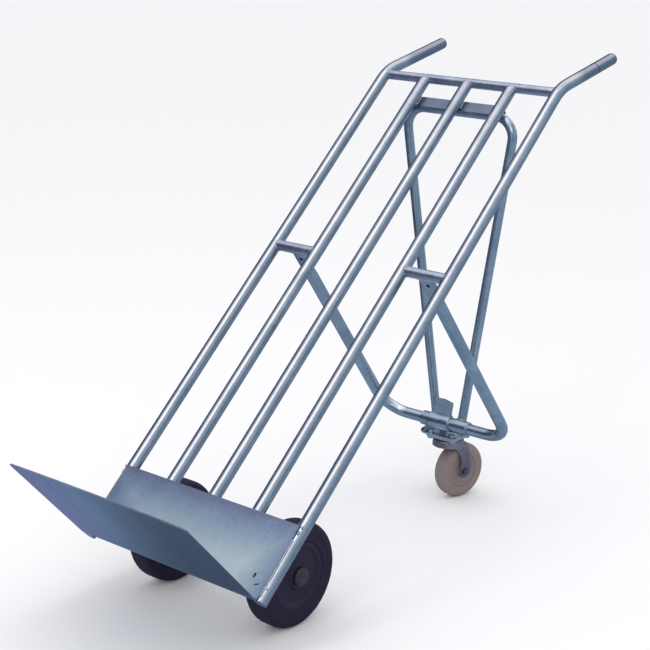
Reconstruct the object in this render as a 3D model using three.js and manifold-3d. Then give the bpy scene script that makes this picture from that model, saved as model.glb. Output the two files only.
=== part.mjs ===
// Convertible hand truck: a five-rail zinc-plated tube frame with a bent toe plate, two main
// wheels, and a folding rear support (leg frame, strut frame and swivel caster) that holds the
// truck leaning back on three wheels. Millimetres, +Z up, +X across the truck, +Y to the rear
// (the operator's side). The load side faces -Y. The origin is on the ground under the middle
// of the bounding box.
import * as THREE from 'three';
import { mergeVertices } from 'three/addons/utils/BufferGeometryUtils.js';
import Module from 'manifold-3d';

const wasm = await Module();
wasm.setup();

// ---------------------------------------------------------------- driving dimensions
const LEAN_DEG = 47.2;          // rails' lean from the vertical
const Y_SHIFT = -455.66;         // puts the origin under the middle of the bounding box
const GAP = 0.3;                // clearance between neighbouring solids

const RAIL_PITCH = 110;         // between neighbouring rails, centre to centre
const RAIL_R = 12.5;            // 25 mm tube
const WALL = 2;
const RAIL_FOOT = 3.5;          // outer rails' lower end above the toe plate's underside
const INNER_FOOT = 26;          // inner rails end behind the plate
const TOP_BAR_U = 1204;         // top crossbar, measured along the rails from the underside
const TOP_BAR_N = -3;
const TOP_BAR_R = 10;

const BEND_U = 1212.4;          // where rail and handle centre lines meet
const BEND_R = 100;
const HANDLE_DEG = 29.5;
const HANDLE_LEN = 204;
const HANDLE_CAP = 8.5;

const PLATE_HALF = 221;
const PLATE_T = 3;
const PLATE_N = RAIL_R + GAP;   // back face of the upright plate
const PLATE_TOP = 156.5;
const TOE_DEPTH = 269;          // front edge at the sides
const TOE_BOW = 5;              // extra depth at the middle
const PLATE_BEND_R = 6;         // inside bend radius

const WHEEL_U = 108, WHEEL_N = -117.4;
const WHEEL_R = 101, WHEEL_W = 52, WHEEL_X = 151.4, TYRE_CORNER = 12;
const RIM_R = 64;
const AXLE_R = 10;

const PIVOT_U = 720;            // leg frame's pivot on the rails
const SLEEVE_R = 11;
const SPINDLE_R = 6;
const LEG_LEN = 535;
const LEG_DEG = 85.03;          // leg frame's plane, from the rail direction
const LEG_TOP_X = 162, LEG_FOOT_X = 168, LEG_BEND_R = 60, LEG_R = 12.5;
const PADDLE_W = 40, PADDLE_T = 8;

const CATCH_U0 = 1136.5, CATCH_U1 = 1162.5, CATCH_T = 3, CATCH_DROP = 22, CATCH_HALF = 103;
const STRUT_R = 10, STRUT_TOP_U = 1144, STRUT_TOP_N = -(RAIL_R + GAP + CATCH_T + GAP + STRUT_R);
const STRUT_TOP_X = 141, STRUT_FOOT_X = 34, STRUT_BEND_R = 42, STRUT_SET_BACK = 12;

const KNUCKLE_R = 16, KNUCKLE_HALF = 62;
const CASTER_R = 62.5, CASTER_W = 34, CASTER_TRAIL = 35, CASTER_TURN_DEG = 12, CASTER_SET_BACK = 12.7;
const BASE_TOP = 157.6, BASE_T = 4, BASE_X = 40, BASE_Y = 39, BASE_LEFT = 61;
const CASTER_BOLT_X = 29, CASTER_BOLT_Y = 28;

// ---------------------------------------------------------------- materials
const zinc = (name, hex, rough = 0.32) => new THREE.MeshStandardMaterial({ name, color: hex, roughness: rough, metalness: 0.95 });
const TUBE = zinc('zinc_tube', 0x9aa7bb);
const SHEET = zinc('zinc_sheet', 0x7f8fa8, 0.45);
const SUPPORT = zinc('zinc_support', 0x8090ab, 0.38);
const STEEL = zinc('zinc_fittings', 0x8d97a6, 0.4);
const RUBBER = new THREE.MeshStandardMaterial({ name: 'tyre_black', color: 0x2d263c, roughness: 0.7, metalness: 0 });
const PLASTIC = new THREE.MeshStandardMaterial({ name: 'hub_black', color: 0x2f293f, roughness: 0.5, metalness: 0 });
const GREY_RUBBER = new THREE.MeshStandardMaterial({ name: 'caster_grey', color: 0x7d7674, roughness: 0.75, metalness: 0 });
const FORK = zinc('caster_steel', 0x5d5e70, 0.5);

// ---------------------------------------------------------------- helpers
const V = (x, y, z) => new THREE.Vector3(x, y, z);
const rad = THREE.MathUtils.degToRad;

// a closed triangle mesh with merged corners and outward faces
function closed(geometry) {
  const g = geometry.clone();
  for (const name of Object.keys(g.attributes)) if (name !== 'position') g.deleteAttribute(name);
  const m = mergeVertices(g, 1e-3);
  const p = m.attributes.position, idx = m.index.array;
  const out = [];
  let vol = 0;
  const a = V(), b = V(), c = V();
  for (let i = 0; i < idx.length; i += 3) {
    const [i0, i1, i2] = [idx[i], idx[i + 1], idx[i + 2]];
    if (i0 === i1 || i1 === i2 || i0 === i2) continue;
    a.fromBufferAttribute(p, i0); b.fromBufferAttribute(p, i1); c.fromBufferAttribute(p, i2);
    vol += a.dot(b.clone().cross(c));
    out.push(i0, i1, i2);
  }
  if (vol < 0) for (let i = 0; i < out.length; i += 3) [out[i], out[i + 1]] = [out[i + 1], out[i]];
  const r = new THREE.BufferGeometry();
  r.setAttribute('position', p.clone());
  r.setIndex(out);
  return r;
}
function solid(geometry) {
  const g = closed(geometry);
  return new wasm.Manifold(new wasm.Mesh({
    numProp: 3,
    vertProperties: new Float32Array(g.attributes.position.array),
    triVerts: new Uint32Array(g.index.array),
  }));
}
function geometryOf(manifold) {
  const m = manifold.getMesh();
  const g = new THREE.BufferGeometry();
  g.setAttribute('position', new THREE.BufferAttribute(new Float32Array(m.vertProperties), 3));
  g.setIndex(new THREE.BufferAttribute(new Uint32Array(m.triVerts), 1));
  return g;
}
function piece(name, shape, material, parent) {
  const g = shape.isBufferGeometry ? closed(shape) : geometryOf(shape);
  g.computeVertexNormals();
  const mesh = new THREE.Mesh(g, material);
  mesh.name = name;
  parent.add(mesh);
  return mesh;
}
// round outline of n corners, or a washer outline
function ringShape(r, bore = 0, n = 24, nb = 12) {
  const pts = (q, k) => Array.from({ length: k }, (_, i) => new THREE.Vector2(q * Math.cos((2 * Math.PI * i) / k), q * Math.sin((2 * Math.PI * i) / k)));
  const s = new THREE.Shape(pts(r, n));
  if (bore) s.holes.push(new THREE.Path(pts(bore, nb)));
  return s;
}
// a path through given stations with given directions, one section at each station
class Stations extends THREE.Curve {
  constructor(points, dirs) { super(); this.points = points; this.dirs = dirs; }
  getPoint(t, target = V()) {
    const s = t * (this.points.length - 1), i = Math.min(Math.floor(s + 1e-6), this.points.length - 2);
    return target.lerpVectors(this.points[i], this.points[i + 1], s - i);
  }
  getPointAt(u, target) { return this.getPoint(u, target); }
  getTangentAt(u, target = V()) { return target.copy(this.dirs[Math.round(u * (this.dirs.length - 1))]); }
}
// centre line with rounded corners; corners: [{p, r}], extra: distances from the ends for more stations
function route(corners, extra = [], stepDeg = 10) {
  const pts = [], dirs = [];
  const push = (p, d) => { pts.push(p); dirs.push(d); };
  const n = corners.length;
  let d0 = corners[1].p.clone().sub(corners[0].p).normalize();
  push(corners[0].p.clone(), d0.clone());
  for (const e of extra) push(corners[0].p.clone().addScaledVector(d0, e), d0.clone());
  for (let i = 1; i < n - 1; i++) {
    const d1 = corners[i + 1].p.clone().sub(corners[i].p).normalize();
    const ang = d0.angleTo(d1), t = corners[i].r * Math.tan(ang / 2);
    const start = corners[i].p.clone().addScaledVector(d0, -t);
    const inward = d1.clone().addScaledVector(d0, -d1.dot(d0)).normalize();
    const centre = start.clone().addScaledVector(inward, corners[i].r);
    const steps = Math.max(2, Math.ceil(THREE.MathUtils.radToDeg(ang) / stepDeg));
    for (let k = 0; k <= steps; k++) {
      const a = (ang * k) / steps;
      push(centre.clone().addScaledVector(inward, -corners[i].r * Math.cos(a)).addScaledVector(d0, corners[i].r * Math.sin(a)),
        d0.clone().multiplyScalar(Math.cos(a)).addScaledVector(inward, Math.sin(a)));
    }
    d0 = d1;
  }
  const last = corners[n - 1].p;
  for (const e of [...extra].reverse()) push(last.clone().addScaledVector(d0, -e), d0.clone());
  push(last.clone(), d0.clone());
  return new Stations(pts, dirs);
}
function sweep(shape, path) {
  return new THREE.ExtrudeGeometry(shape, { steps: path.points.length - 1, curveSegments: 1, bevelEnabled: false, extrudePath: path });
}
// flat outline [[a, b], ...] in the plane across X, from x0 to x1; a is along +Y, b along +Z
function slabX(outline, x0, x1) {
  const s = new THREE.Shape(outline.map(([a, b]) => new THREE.Vector2(a, b)));
  const g = new THREE.ExtrudeGeometry(s, { depth: x1 - x0, bevelEnabled: false });
  g.applyMatrix4(new THREE.Matrix4().makeBasis(V(0, 1, 0), V(0, 0, 1), V(1, 0, 0)));
  return g.translate(x0, 0, 0);
}
// flat outline in X and Z, from y0 to y1
function slabY(outline, y0, y1) {
  const s = new THREE.Shape(outline.map(([a, b]) => new THREE.Vector2(a, b)));
  const g = new THREE.ExtrudeGeometry(s, { depth: y1 - y0, bevelEnabled: false });
  g.applyMatrix4(new THREE.Matrix4().makeBasis(V(1, 0, 0), V(0, 0, 1), V(0, -1, 0)));
  return g.translate(0, y1, 0);
}
// flat outline in X and Y, from z0 to z1
function slabZ(outline, z0, z1) {
  const s = new THREE.Shape(outline.map(([a, b]) => new THREE.Vector2(a, b)));
  return new THREE.ExtrudeGeometry(s, { depth: z1 - z0, bevelEnabled: false }).translate(0, 0, z0);
}
const rodX = (r, x0, x1, n = 24) => new THREE.CylinderGeometry(r, r, x1 - x0, n).rotateZ(Math.PI / 2).translate((x0 + x1) / 2, 0, 0);
const rodZ = (r, z0, z1, n = 20) => new THREE.CylinderGeometry(r, r, z1 - z0, n).rotateX(Math.PI / 2).translate(0, 0, (z0 + z1) / 2);
const rodY = (r, y0, y1, n = 24) => new THREE.CylinderGeometry(r, r, y1 - y0, n).translate(0, (y0 + y1) / 2, 0);
// profile [[radius, along], ...] turned about an axis
function turned(profile, axis = 'x', n = 24) {
  const g = new THREE.LatheGeometry(profile.map(([r, a]) => new THREE.Vector2(r, a)), n);
  if (axis === 'x') g.rotateZ(-Math.PI / 2);
  if (axis === 'z') g.rotateX(Math.PI / 2);
  return g;
}
function roundedRect(hx, hy, r, seg = 4) {
  const pts = [];
  for (const [cx, cy, a0] of [[hx - r, hy - r, 0], [-hx + r, hy - r, 90], [-hx + r, -hy + r, 180], [hx - r, -hy + r, 270]])
    for (let k = 0; k <= seg; k++) { const a = rad(a0 + (90 * k) / seg); pts.push([cx + r * Math.cos(a), cy + r * Math.sin(a)]); }
  return pts;
}

// ---------------------------------------------------------------- frames of reference
// truck: X across, Y along the rails (u, from the toe plate's underside), Z out of the load side (n)
const hand_truck = new THREE.Group();
const sinL = Math.sin(rad(LEAN_DEG)), cosL = Math.cos(rad(LEAN_DEG));
const Z_SHIFT = WHEEL_R - (WHEEL_U * cosL + WHEEL_N * sinL);
const truck = new THREE.Group();
truck.position.set(0, Y_SHIFT, Z_SHIFT);
truck.rotation.x = rad(90 - LEAN_DEG);
hand_truck.add(truck);
const rowY = (u, n) => u * sinL - n * cosL + Y_SHIFT;
const rowZ = (u, n) => u * cosL + n * sinL + Z_SHIFT;

// ---------------------------------------------------------------- rails and handles
const handleDir = V(0, Math.cos(rad(HANDLE_DEG)), -Math.sin(rad(HANDLE_DEG)));
function railRoute(x, u0 = RAIL_FOOT, len = HANDLE_LEN) {
  return route([
    { p: V(x, u0, 0) },
    { p: V(x, BEND_U, 0), r: BEND_R },
    { p: V(x, BEND_U, 0).addScaledVector(handleDir, len) },
  ], [], 6);
}
const outerX = 2 * RAIL_PITCH;
for (const [side, sx] of [['left', -1], ['right', 1]]) {
  const bore = solid(sweep(ringShape(RAIL_R - WALL), railRoute(sx * outerX, RAIL_FOOT + 3, HANDLE_LEN + 5)));
  piece(`rail_outer_${side}`, solid(sweep(ringShape(RAIL_R), railRoute(sx * outerX))).subtract(bore), TUBE, truck);
  // domed cap pushed into the handle's open end
  const r = RAIL_R, s = 9.7;
  const cap = turned([[0, -14], [s - 1, -14], [s, -13], [s, GAP], [r, GAP], [r, 2.2], [r * 0.93, 5], [r * 0.72, 7.4], [r * 0.38, 8.3], [0, HANDLE_CAP]], 'y', 20);
  const holder = new THREE.Group();
  holder.position.copy(V(sx * outerX, BEND_U, 0).addScaledVector(handleDir, HANDLE_LEN));
  holder.rotation.x = -rad(HANDLE_DEG);
  truck.add(holder);
  piece(`handle_cap_${side}`, cap, TUBE, holder);
}
const barCut = solid(rodX(TOP_BAR_R + GAP, -240, 240).translate(0, TOP_BAR_U, TOP_BAR_N));
for (const [name, x] of [['left', -RAIL_PITCH], ['centre', 0], ['right', RAIL_PITCH]]) {
  // tube with a closed, domed top lying over the front of the crossbar
  const top = TOP_BAR_U - 2;
  const r = RAIL_R, b = RAIL_R - WALL;
  const tube = turned([[0, top], [r * 0.35, top - 0.4], [r * 0.66, top - 1.7], [r * 0.88, top - 4.2], [r, top - 8],
    [r, INNER_FOOT], [b, INNER_FOOT], [b, TOP_BAR_U - 30], [0, TOP_BAR_U - 30]], 'y', 24);
  piece(`rail_inner_${name}`, solid(tube.translate(x, 0, 0)).subtract(barCut), TUBE, truck);
}
{
  const outers = solid(sweep(ringShape(RAIL_R + GAP), railRoute(outerX, 1100)))
    .add(solid(sweep(ringShape(RAIL_R + GAP), railRoute(-outerX, 1100))));
  const bar = solid(rodX(TOP_BAR_R, -outerX, outerX).translate(0, TOP_BAR_U, TOP_BAR_N))
    .subtract(solid(rodX(TOP_BAR_R - WALL, -outerX - 5, outerX + 5).translate(0, TOP_BAR_U, TOP_BAR_N)));
  piece('top_crossbar', bar.subtract(outers), TUBE, truck);
}

// ---------------------------------------------------------------- toe plate and back plate, one bent sheet
{
  const n0 = PLATE_N, n1 = PLATE_N + PLATE_T, Ri = PLATE_BEND_R, Ro = PLATE_BEND_R + PLATE_T;
  const far = TOE_DEPTH + TOE_BOW + 4;
  const outline = [[PLATE_TOP, n1], [PLATE_T + Ri, n1]];
  for (let k = 1; k <= 5; k++) { const a = (Math.PI / 2) * (k / 5); outline.push([PLATE_T + Ri - Ri * Math.sin(a), n1 + Ri - Ri * Math.cos(a)]); }
  outline.push([PLATE_T, far], [0, far], [0, n0 + Ro]);
  for (let k = 1; k <= 6; k++) { const a = (Math.PI / 2) * (k / 6); outline.push([Ro - Ro * Math.cos(a), n0 + Ro - Ro * Math.sin(a)]); }
  outline.push([PLATE_TOP, n0]);
  const sheet = solid(slabX(outline, -PLATE_HALF, PLATE_HALF));
  const c = 3;                                              // small corner rounding of the front edge
  const front = [];
  for (let k = 0; k <= 24; k++) {
    const x = -PLATE_HALF + (2 * PLATE_HALF * k) / 24;
    front.push([x, TOE_DEPTH + TOE_BOW * (1 - (x / PLATE_HALF) ** 2)]);
  }
  front[0][1] -= c; front[24][1] -= c;
  front.splice(1, 0, [-PLATE_HALF + c, TOE_DEPTH + 0.1]);
  front.splice(front.length - 1, 0, [PLATE_HALF - c, TOE_DEPTH + 0.1]);
  const keep = slabY([...front, [PLATE_HALF, -20], [-PLATE_HALF, -20]], -20, 200);
  const hole = solid(rodY(2.6, -10, 12, 16).translate(195.5, 0, 157));
  const slot = solid(slabZ(roundedRect(2.8, 4.8, 2.7, 3), 5, 25).translate(189.5, 43.5, 0));
  const nick = solid(slabZ(roundedRect(5, 1.5, 1.4, 3), 5, 25).rotateZ(rad(32)).translate(203, 29, 0));
  piece('toe_plate', sheet.intersect(solid(keep)).subtract(hole).subtract(slot).subtract(nick), SHEET, truck);
}

// ---------------------------------------------------------------- leg pivots on the rails
function railCut(x) { return solid(rodY(RAIL_R + GAP, 300, 1100).translate(x, 0, 0)); }
for (const [side, sx] of [['left', -1], ['right', 1]]) {
  // fixed spindle with a welded collar against each rail
  const a = RAIL_PITCH + 4, b = outerX - 4, ca = RAIL_PITCH + RAIL_R + 5, cb = outerX - RAIL_R - 5;
  const c = SLEEVE_R;
  const spindle = solid(turned([[0, a], [c, a], [c, ca], [SPINDLE_R, ca], [SPINDLE_R, cb], [c, cb], [c, b], [0, b]], 'x', 22).scale(sx, 1, 1)
    .translate(0, PIVOT_U, 0));
  piece(`pivot_spindle_${side}`, spindle.subtract(railCut(sx * RAIL_PITCH)).subtract(railCut(sx * outerX)), TUBE, truck);
}

// ---------------------------------------------------------------- catch angle under the inner rails
{
  const n0 = -(RAIL_R + GAP), n1 = n0 - CATCH_T, nd = n0 - CATCH_DROP;
  const outline = [[CATCH_U0, n0], [CATCH_U0, n1], [CATCH_U1 - 4, n1], [CATCH_U1 - 4, nd], [CATCH_U1, nd], [CATCH_U1, n0 - 1], [CATCH_U1 - 1, n0]];
  piece('strut_catch', slabX(outline, -CATCH_HALF, CATCH_HALF), STEEL, truck);
}

// ---------------------------------------------------------------- main wheels
for (const [side, sx] of [['left', -1], ['right', 1]]) {
  // channel bracket under an inner rail, open to the rear
  const x0 = RAIL_PITCH - 12.5, x1 = RAIL_PITCH + 12.5;
  const boss = [];
  for (let k = 0; k <= 10; k++) { const a = rad(205 + (130 * k) / 10); boss.push([WHEEL_U + 19 * Math.cos(a), WHEEL_N + 19 * Math.sin(a)]); }
  const cheek = [[162, -(RAIL_R + GAP)], [30, -(RAIL_R + GAP)], [30, -24], ...boss, [162, -24]];
  let bracket = solid(slabX(cheek, x0, x1));
  bracket = bracket.subtract(solid(new THREE.BoxGeometry(x1 - x0 - 8, 400, 200).translate((x0 + x1) / 2, 100, -(RAIL_R + GAP) - 4 - 100)));
  bracket = bracket.subtract(solid(rodX(AXLE_R + GAP, x0 - 20, x1 + 20, 24).translate(0, WHEEL_U, WHEEL_N)));
  const bg = geometryOf(bracket);
  if (sx < 0) bg.scale(-1, 1, 1);
  piece(`axle_bracket_${side}`, bg, STEEL, truck);

  const wheel = new THREE.Group();
  wheel.position.set(0, rowY(WHEEL_U, WHEEL_N), rowZ(WHEEL_U, WHEEL_N));
  hand_truck.add(wheel);
  const w0 = WHEEL_X - WHEEL_W / 2, w1 = WHEEL_X + WHEEL_W / 2;
  // stub axle: inner head, shaft through bracket, spacer shoulder and wheel
  const axle = turned([[0, 88], [15, 88], [15, 96.5], [AXLE_R, 96.5], [AXLE_R, w1 + 5], [AXLE_R - 1.5, w1 + 6.5], [0, w1 + 6.5]], 'x', 22);
  piece(`stub_axle_${side}`, axle.scale(sx, 1, 1), STEEL, wheel);
  // tyre with rounded shoulders
  const r = WHEEL_R, c = TYRE_CORNER, ri = RIM_R + GAP;
  const prof = [[ri, w0 + 3], [ri + 4, w0]];
  for (let k = 0; k <= 3; k++) { const a = (Math.PI / 2) * (k / 3); prof.push([r - c + c * Math.sin(a), w0 + c - c * Math.cos(a)]); }
  for (let k = 0; k <= 3; k++) { const a = (Math.PI / 2) * (k / 3); prof.push([r - c + c * Math.cos(a), w1 - c + c * Math.sin(a)]); }
  prof.push([ri + 4, w1], [ri, w1 - 3], [ri, w0 + 3]);
  piece(`tyre_${side}`, turned(prof, 'x', 40).scale(sx, 1, 1), RUBBER, wheel);
  // wheel centre with a raised hub
  const b = AXLE_R + GAP, h0 = w0 + 1.5, h1 = w1 - 2;
  const disc = [[b, h0], [24, h0], [27, h0 + 7], [52, h0 + 8], [57, h0 + 1.5], [RIM_R, h0 + 1.5], [RIM_R, h1 - 1.5], [57, h1 - 1.5], [52, h1 - 6], [27, h1 - 5], [24, h1], [b, h1], [b, h0]];
  piece(`wheel_centre_${side}`, turned(disc, 'x', 28).scale(sx, 1, 1), PLASTIC, wheel);
  // hub cap pressed on the axle's end
  const cap = [[0, w1 + 9.5], [AXLE_R + 1, w1 + 9.2], [17, w1 + 6.2], [18.6, w1 + 3.6], [18.6, w1 - 1.4], [AXLE_R + 3.2, w1 - 1.4], [AXLE_R + GAP, w1 + 1], [AXLE_R + GAP, w1 + 6.8], [0, w1 + 6.8]];
  piece(`hub_cap_${side}`, turned(cap, 'x', 20).scale(sx, 1, 1), PLASTIC, wheel);
}

// ---------------------------------------------------------------- leg frame
// local frame: X across, -Y from the pivot down the legs, Z square to the legs' plane
const leg = new THREE.Group();
leg.position.set(0, PIVOT_U, 0);
leg.rotation.x = rad(LEG_DEG);
truck.add(leg);
{
  const g = sweep(ringShape(LEG_R, LEG_R - WALL, 20, 8), route([
    { p: V(-LEG_TOP_X, -4, 0) },
    { p: V(-LEG_FOOT_X, -LEG_LEN, 0), r: LEG_BEND_R },
    { p: V(LEG_FOOT_X, -LEG_LEN, 0), r: LEG_BEND_R },
    { p: V(LEG_TOP_X, -4, 0) },
  ], [38, 58, 78], 15));
  // flatten both ends into paddles
  const p = g.attributes.position;
  for (let i = 0; i < p.count; i++) {
    const y = p.getY(i);
    if (y < -80) continue;
    const t = THREE.MathUtils.smoothstep(y, -80, -42);
    const xc = Math.sign(p.getX(i)) * (LEG_TOP_X + ((LEG_FOOT_X - LEG_TOP_X) * (-4 - y)) / (LEG_LEN - 4));
    p.setX(i, xc + (p.getX(i) - xc) * (1 + t * (PADDLE_W / 2 / LEG_R - 1)));
    p.setZ(i, p.getZ(i) * (1 + t * (PADDLE_T / 2 / LEG_R - 1)));
  }
  let tube = solid(g).subtract(solid(rodX(SLEEVE_R + GAP, -240, 240)));
  for (const sx of [-1, 1]) tube = tube.subtract(solid(rodZ(4.5, -20, 20, 12).translate(sx * (LEG_TOP_X + 0.4), -28, 0)));
  piece('leg_tube', tube, SUPPORT, leg);
  for (const [side, sx] of [['left', -1], ['right', 1]]) {
    const a = RAIL_PITCH + RAIL_R + 5 + GAP, b = outerX - RAIL_R - 5 - GAP, i = SPINDLE_R + GAP;
    piece(`leg_sleeve_${side}`, turned([[i, a], [SLEEVE_R, a], [SLEEVE_R, b], [i, b], [i, a]], 'x', 22).scale(sx, 1, 1), TUBE, leg);
  }
}

// ---------------------------------------------------------------- strut frame
const legDir = V(0, Math.cos(rad(LEG_DEG)), Math.sin(rad(LEG_DEG)));
const footU = PIVOT_U - LEG_LEN * legDir.y, footN = -LEG_LEN * legDir.z;
const knuckleY = rowY(footU, footN), knuckleZ = rowZ(footU, footN);
const strut = new THREE.Group();
strut.position.set(0, knuckleY, knuckleZ);
hand_truck.add(strut);
{
  const ty = rowY(STRUT_TOP_U, STRUT_TOP_N) - knuckleY, tz = rowZ(STRUT_TOP_U, STRUT_TOP_N) - knuckleZ;
  const foot = 6;
  let tube = solid(sweep(ringShape(STRUT_R, STRUT_R - WALL, 18, 8), route([
    { p: V(-STRUT_FOOT_X, STRUT_SET_BACK, foot) },
    { p: V(-STRUT_TOP_X, ty, tz), r: STRUT_BEND_R },
    { p: V(STRUT_TOP_X, ty, tz), r: STRUT_BEND_R },
    { p: V(STRUT_FOOT_X, STRUT_SET_BACK, foot) },
  ], [], 15)));
  tube = tube.subtract(solid(rodX(KNUCKLE_R + GAP, -80, 80, 24)));
  piece('strut_tube', tube, SUPPORT, strut);
  // sleeve that turns on the leg frame's foot
  const i = LEG_R + GAP, k = KNUCKLE_R, h = KNUCKLE_HALF;
  piece('knuckle_sleeve', turned([[i, -h], [k - 1, -h], [k, -h + 1], [k, h - 1], [k - 1, h], [i, h], [i, -h]], 'x', 24), SUPPORT, strut);
  // gusset plate in front of the left leg, with a strap wrapped round the sleeve's front
  const y0 = -3.5, y1 = -0.3;
  const plate = solid(slabY([[-37, 12], [15, 12], [15.5, 24], [19, 51.5], [-5, 56], [-29.5, 54.5], [-27, 38], [-37, 21]], y0, y1));
  const wrap = [];
  for (let a = 75; a <= 225; a += 15) wrap.push([(k + GAP + 3.2) * Math.cos(rad(a)), (k + GAP + 3.2) * Math.sin(rad(a))]);
  for (let a = 225; a >= 75; a -= 15) wrap.push([(k + GAP) * Math.cos(rad(a)), (k + GAP) * Math.sin(rad(a))]);
  const strap = solid(slabX(wrap, -37, 15));
  let saddle = plate.add(strap).subtract(solid(rodX(k + GAP, -80, 80, 24)));
  const legCut = solid(sweep(ringShape(STRUT_R + GAP, 0, 20), route([
    { p: V(-STRUT_FOOT_X, STRUT_SET_BACK, foot) }, { p: V(-STRUT_TOP_X, ty, tz), r: STRUT_BEND_R }, { p: V(STRUT_TOP_X, ty, tz) }], [], 15)));
  saddle = saddle.subtract(legCut);
  const baseTop = BASE_TOP - knuckleZ;
  saddle = saddle.subtract(solid(new THREE.BoxGeometry(200, 200, 40).translate(0, 0, baseTop + GAP - 20)));
  piece('strut_saddle', saddle, SUPPORT, strut);
  // cradle webs that stand on the base plate and hold the sleeve
  for (const [side, x0, x1] of [['left', -43, -37.5], ['right', 15.5, 20]]) {
    const web = solid(slabX([[-20, baseTop + GAP], [32, baseTop + GAP], [30, -4], [12, 6], [-17, 2]], x0, x1));
    let cut = web.subtract(solid(rodX(k + GAP, -80, 80, 24)));
    cut = cut.subtract(solid(sweep(ringShape(STRUT_R + GAP, 0, 20), route([
      { p: V(STRUT_FOOT_X, STRUT_SET_BACK, foot) }, { p: V(STRUT_TOP_X, ty, tz), r: STRUT_BEND_R }, { p: V(-STRUT_TOP_X, ty, tz) }], [], 15))));
    piece(`cradle_web_${side}`, cut, SUPPORT, strut);
  }
}

// ---------------------------------------------------------------- caster
const caster = new THREE.Group();
caster.position.set(0, knuckleY + CASTER_SET_BACK, 0);
hand_truck.add(caster);
const bz0 = BASE_TOP - BASE_T, pz1 = bz0 - GAP, pz0 = pz1 - 4;
const boltAt = [[-1, -1], [1, -1], [1, 1], [-1, 1]].map(([a, b]) => [a * CASTER_BOLT_X, b * CASTER_BOLT_Y]);
{
  const drill = (m, r) => boltAt.reduce((q, [x, y]) => q.subtract(solid(rodZ(r, 120, 180, 10).translate(x, y, 0))), m);
  const outline = [];
  for (const [cx, cy, r, a0] of [[BASE_X - 5, BASE_Y - 5, 5, 0], [-BASE_LEFT + 26, BASE_Y - 26, 26, 90], [-BASE_LEFT + 26, -BASE_Y + 26, 26, 180], [BASE_X - 5, -BASE_Y + 5, 5, 270]])
    for (let k = 0; k <= 5; k++) { const a = rad(a0 + 18 * k); outline.push([cx + r * Math.cos(a), cy + r * Math.sin(a)]); }
  piece('caster_base', drill(solid(slabZ(outline, bz0, BASE_TOP)), 4.3), SUPPORT, caster);
  piece('caster_plate', drill(solid(slabZ(roundedRect(BASE_X - 1, BASE_Y - 1, 11, 3), pz0, pz1)), 4.3).subtract(solid(rodZ(6.3, 120, 180, 16))), STEEL, caster);
  boltAt.forEach(([x, y], i) => {
    // hexagon head below the plate
    const head = solid(rodZ(7.2, pz0 - GAP - 5, pz0 - GAP, 6)).add(solid(rodZ(3.8, pz0 - GAP - 1, BASE_TOP + 7.4, 10)));
    piece(`caster_bolt_${i + 1}`, geometryOf(head).translate(x, y, 0), STEEL, caster);
    const nut = solid(rodZ(7.2, BASE_TOP + GAP, BASE_TOP + GAP + 6, 6)).subtract(solid(rodZ(4.2, 120, 200, 10)));
    piece(`caster_nut_${i + 1}`, geometryOf(nut).translate(x, y, 0), STEEL, caster);
  });
  // fixed upper race under the plate
  const t = pz0 - GAP;
  piece('caster_race', turned([[6.3, t], [26, t], [29, t - 2], [29, t - 5.5], [24, t - 7], [6.3, t - 7], [6.3, t]], 'z', 24), FORK, caster);
  // kingpin: head above the plate, nut below the crown
  piece('caster_kingpin', turned([[0, pz1], [5.9, pz1], [5.9, 130.4], [10.5, 130.4], [10.5, 127], [0, 127]], 'z', 16), STEEL, caster);
}
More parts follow.
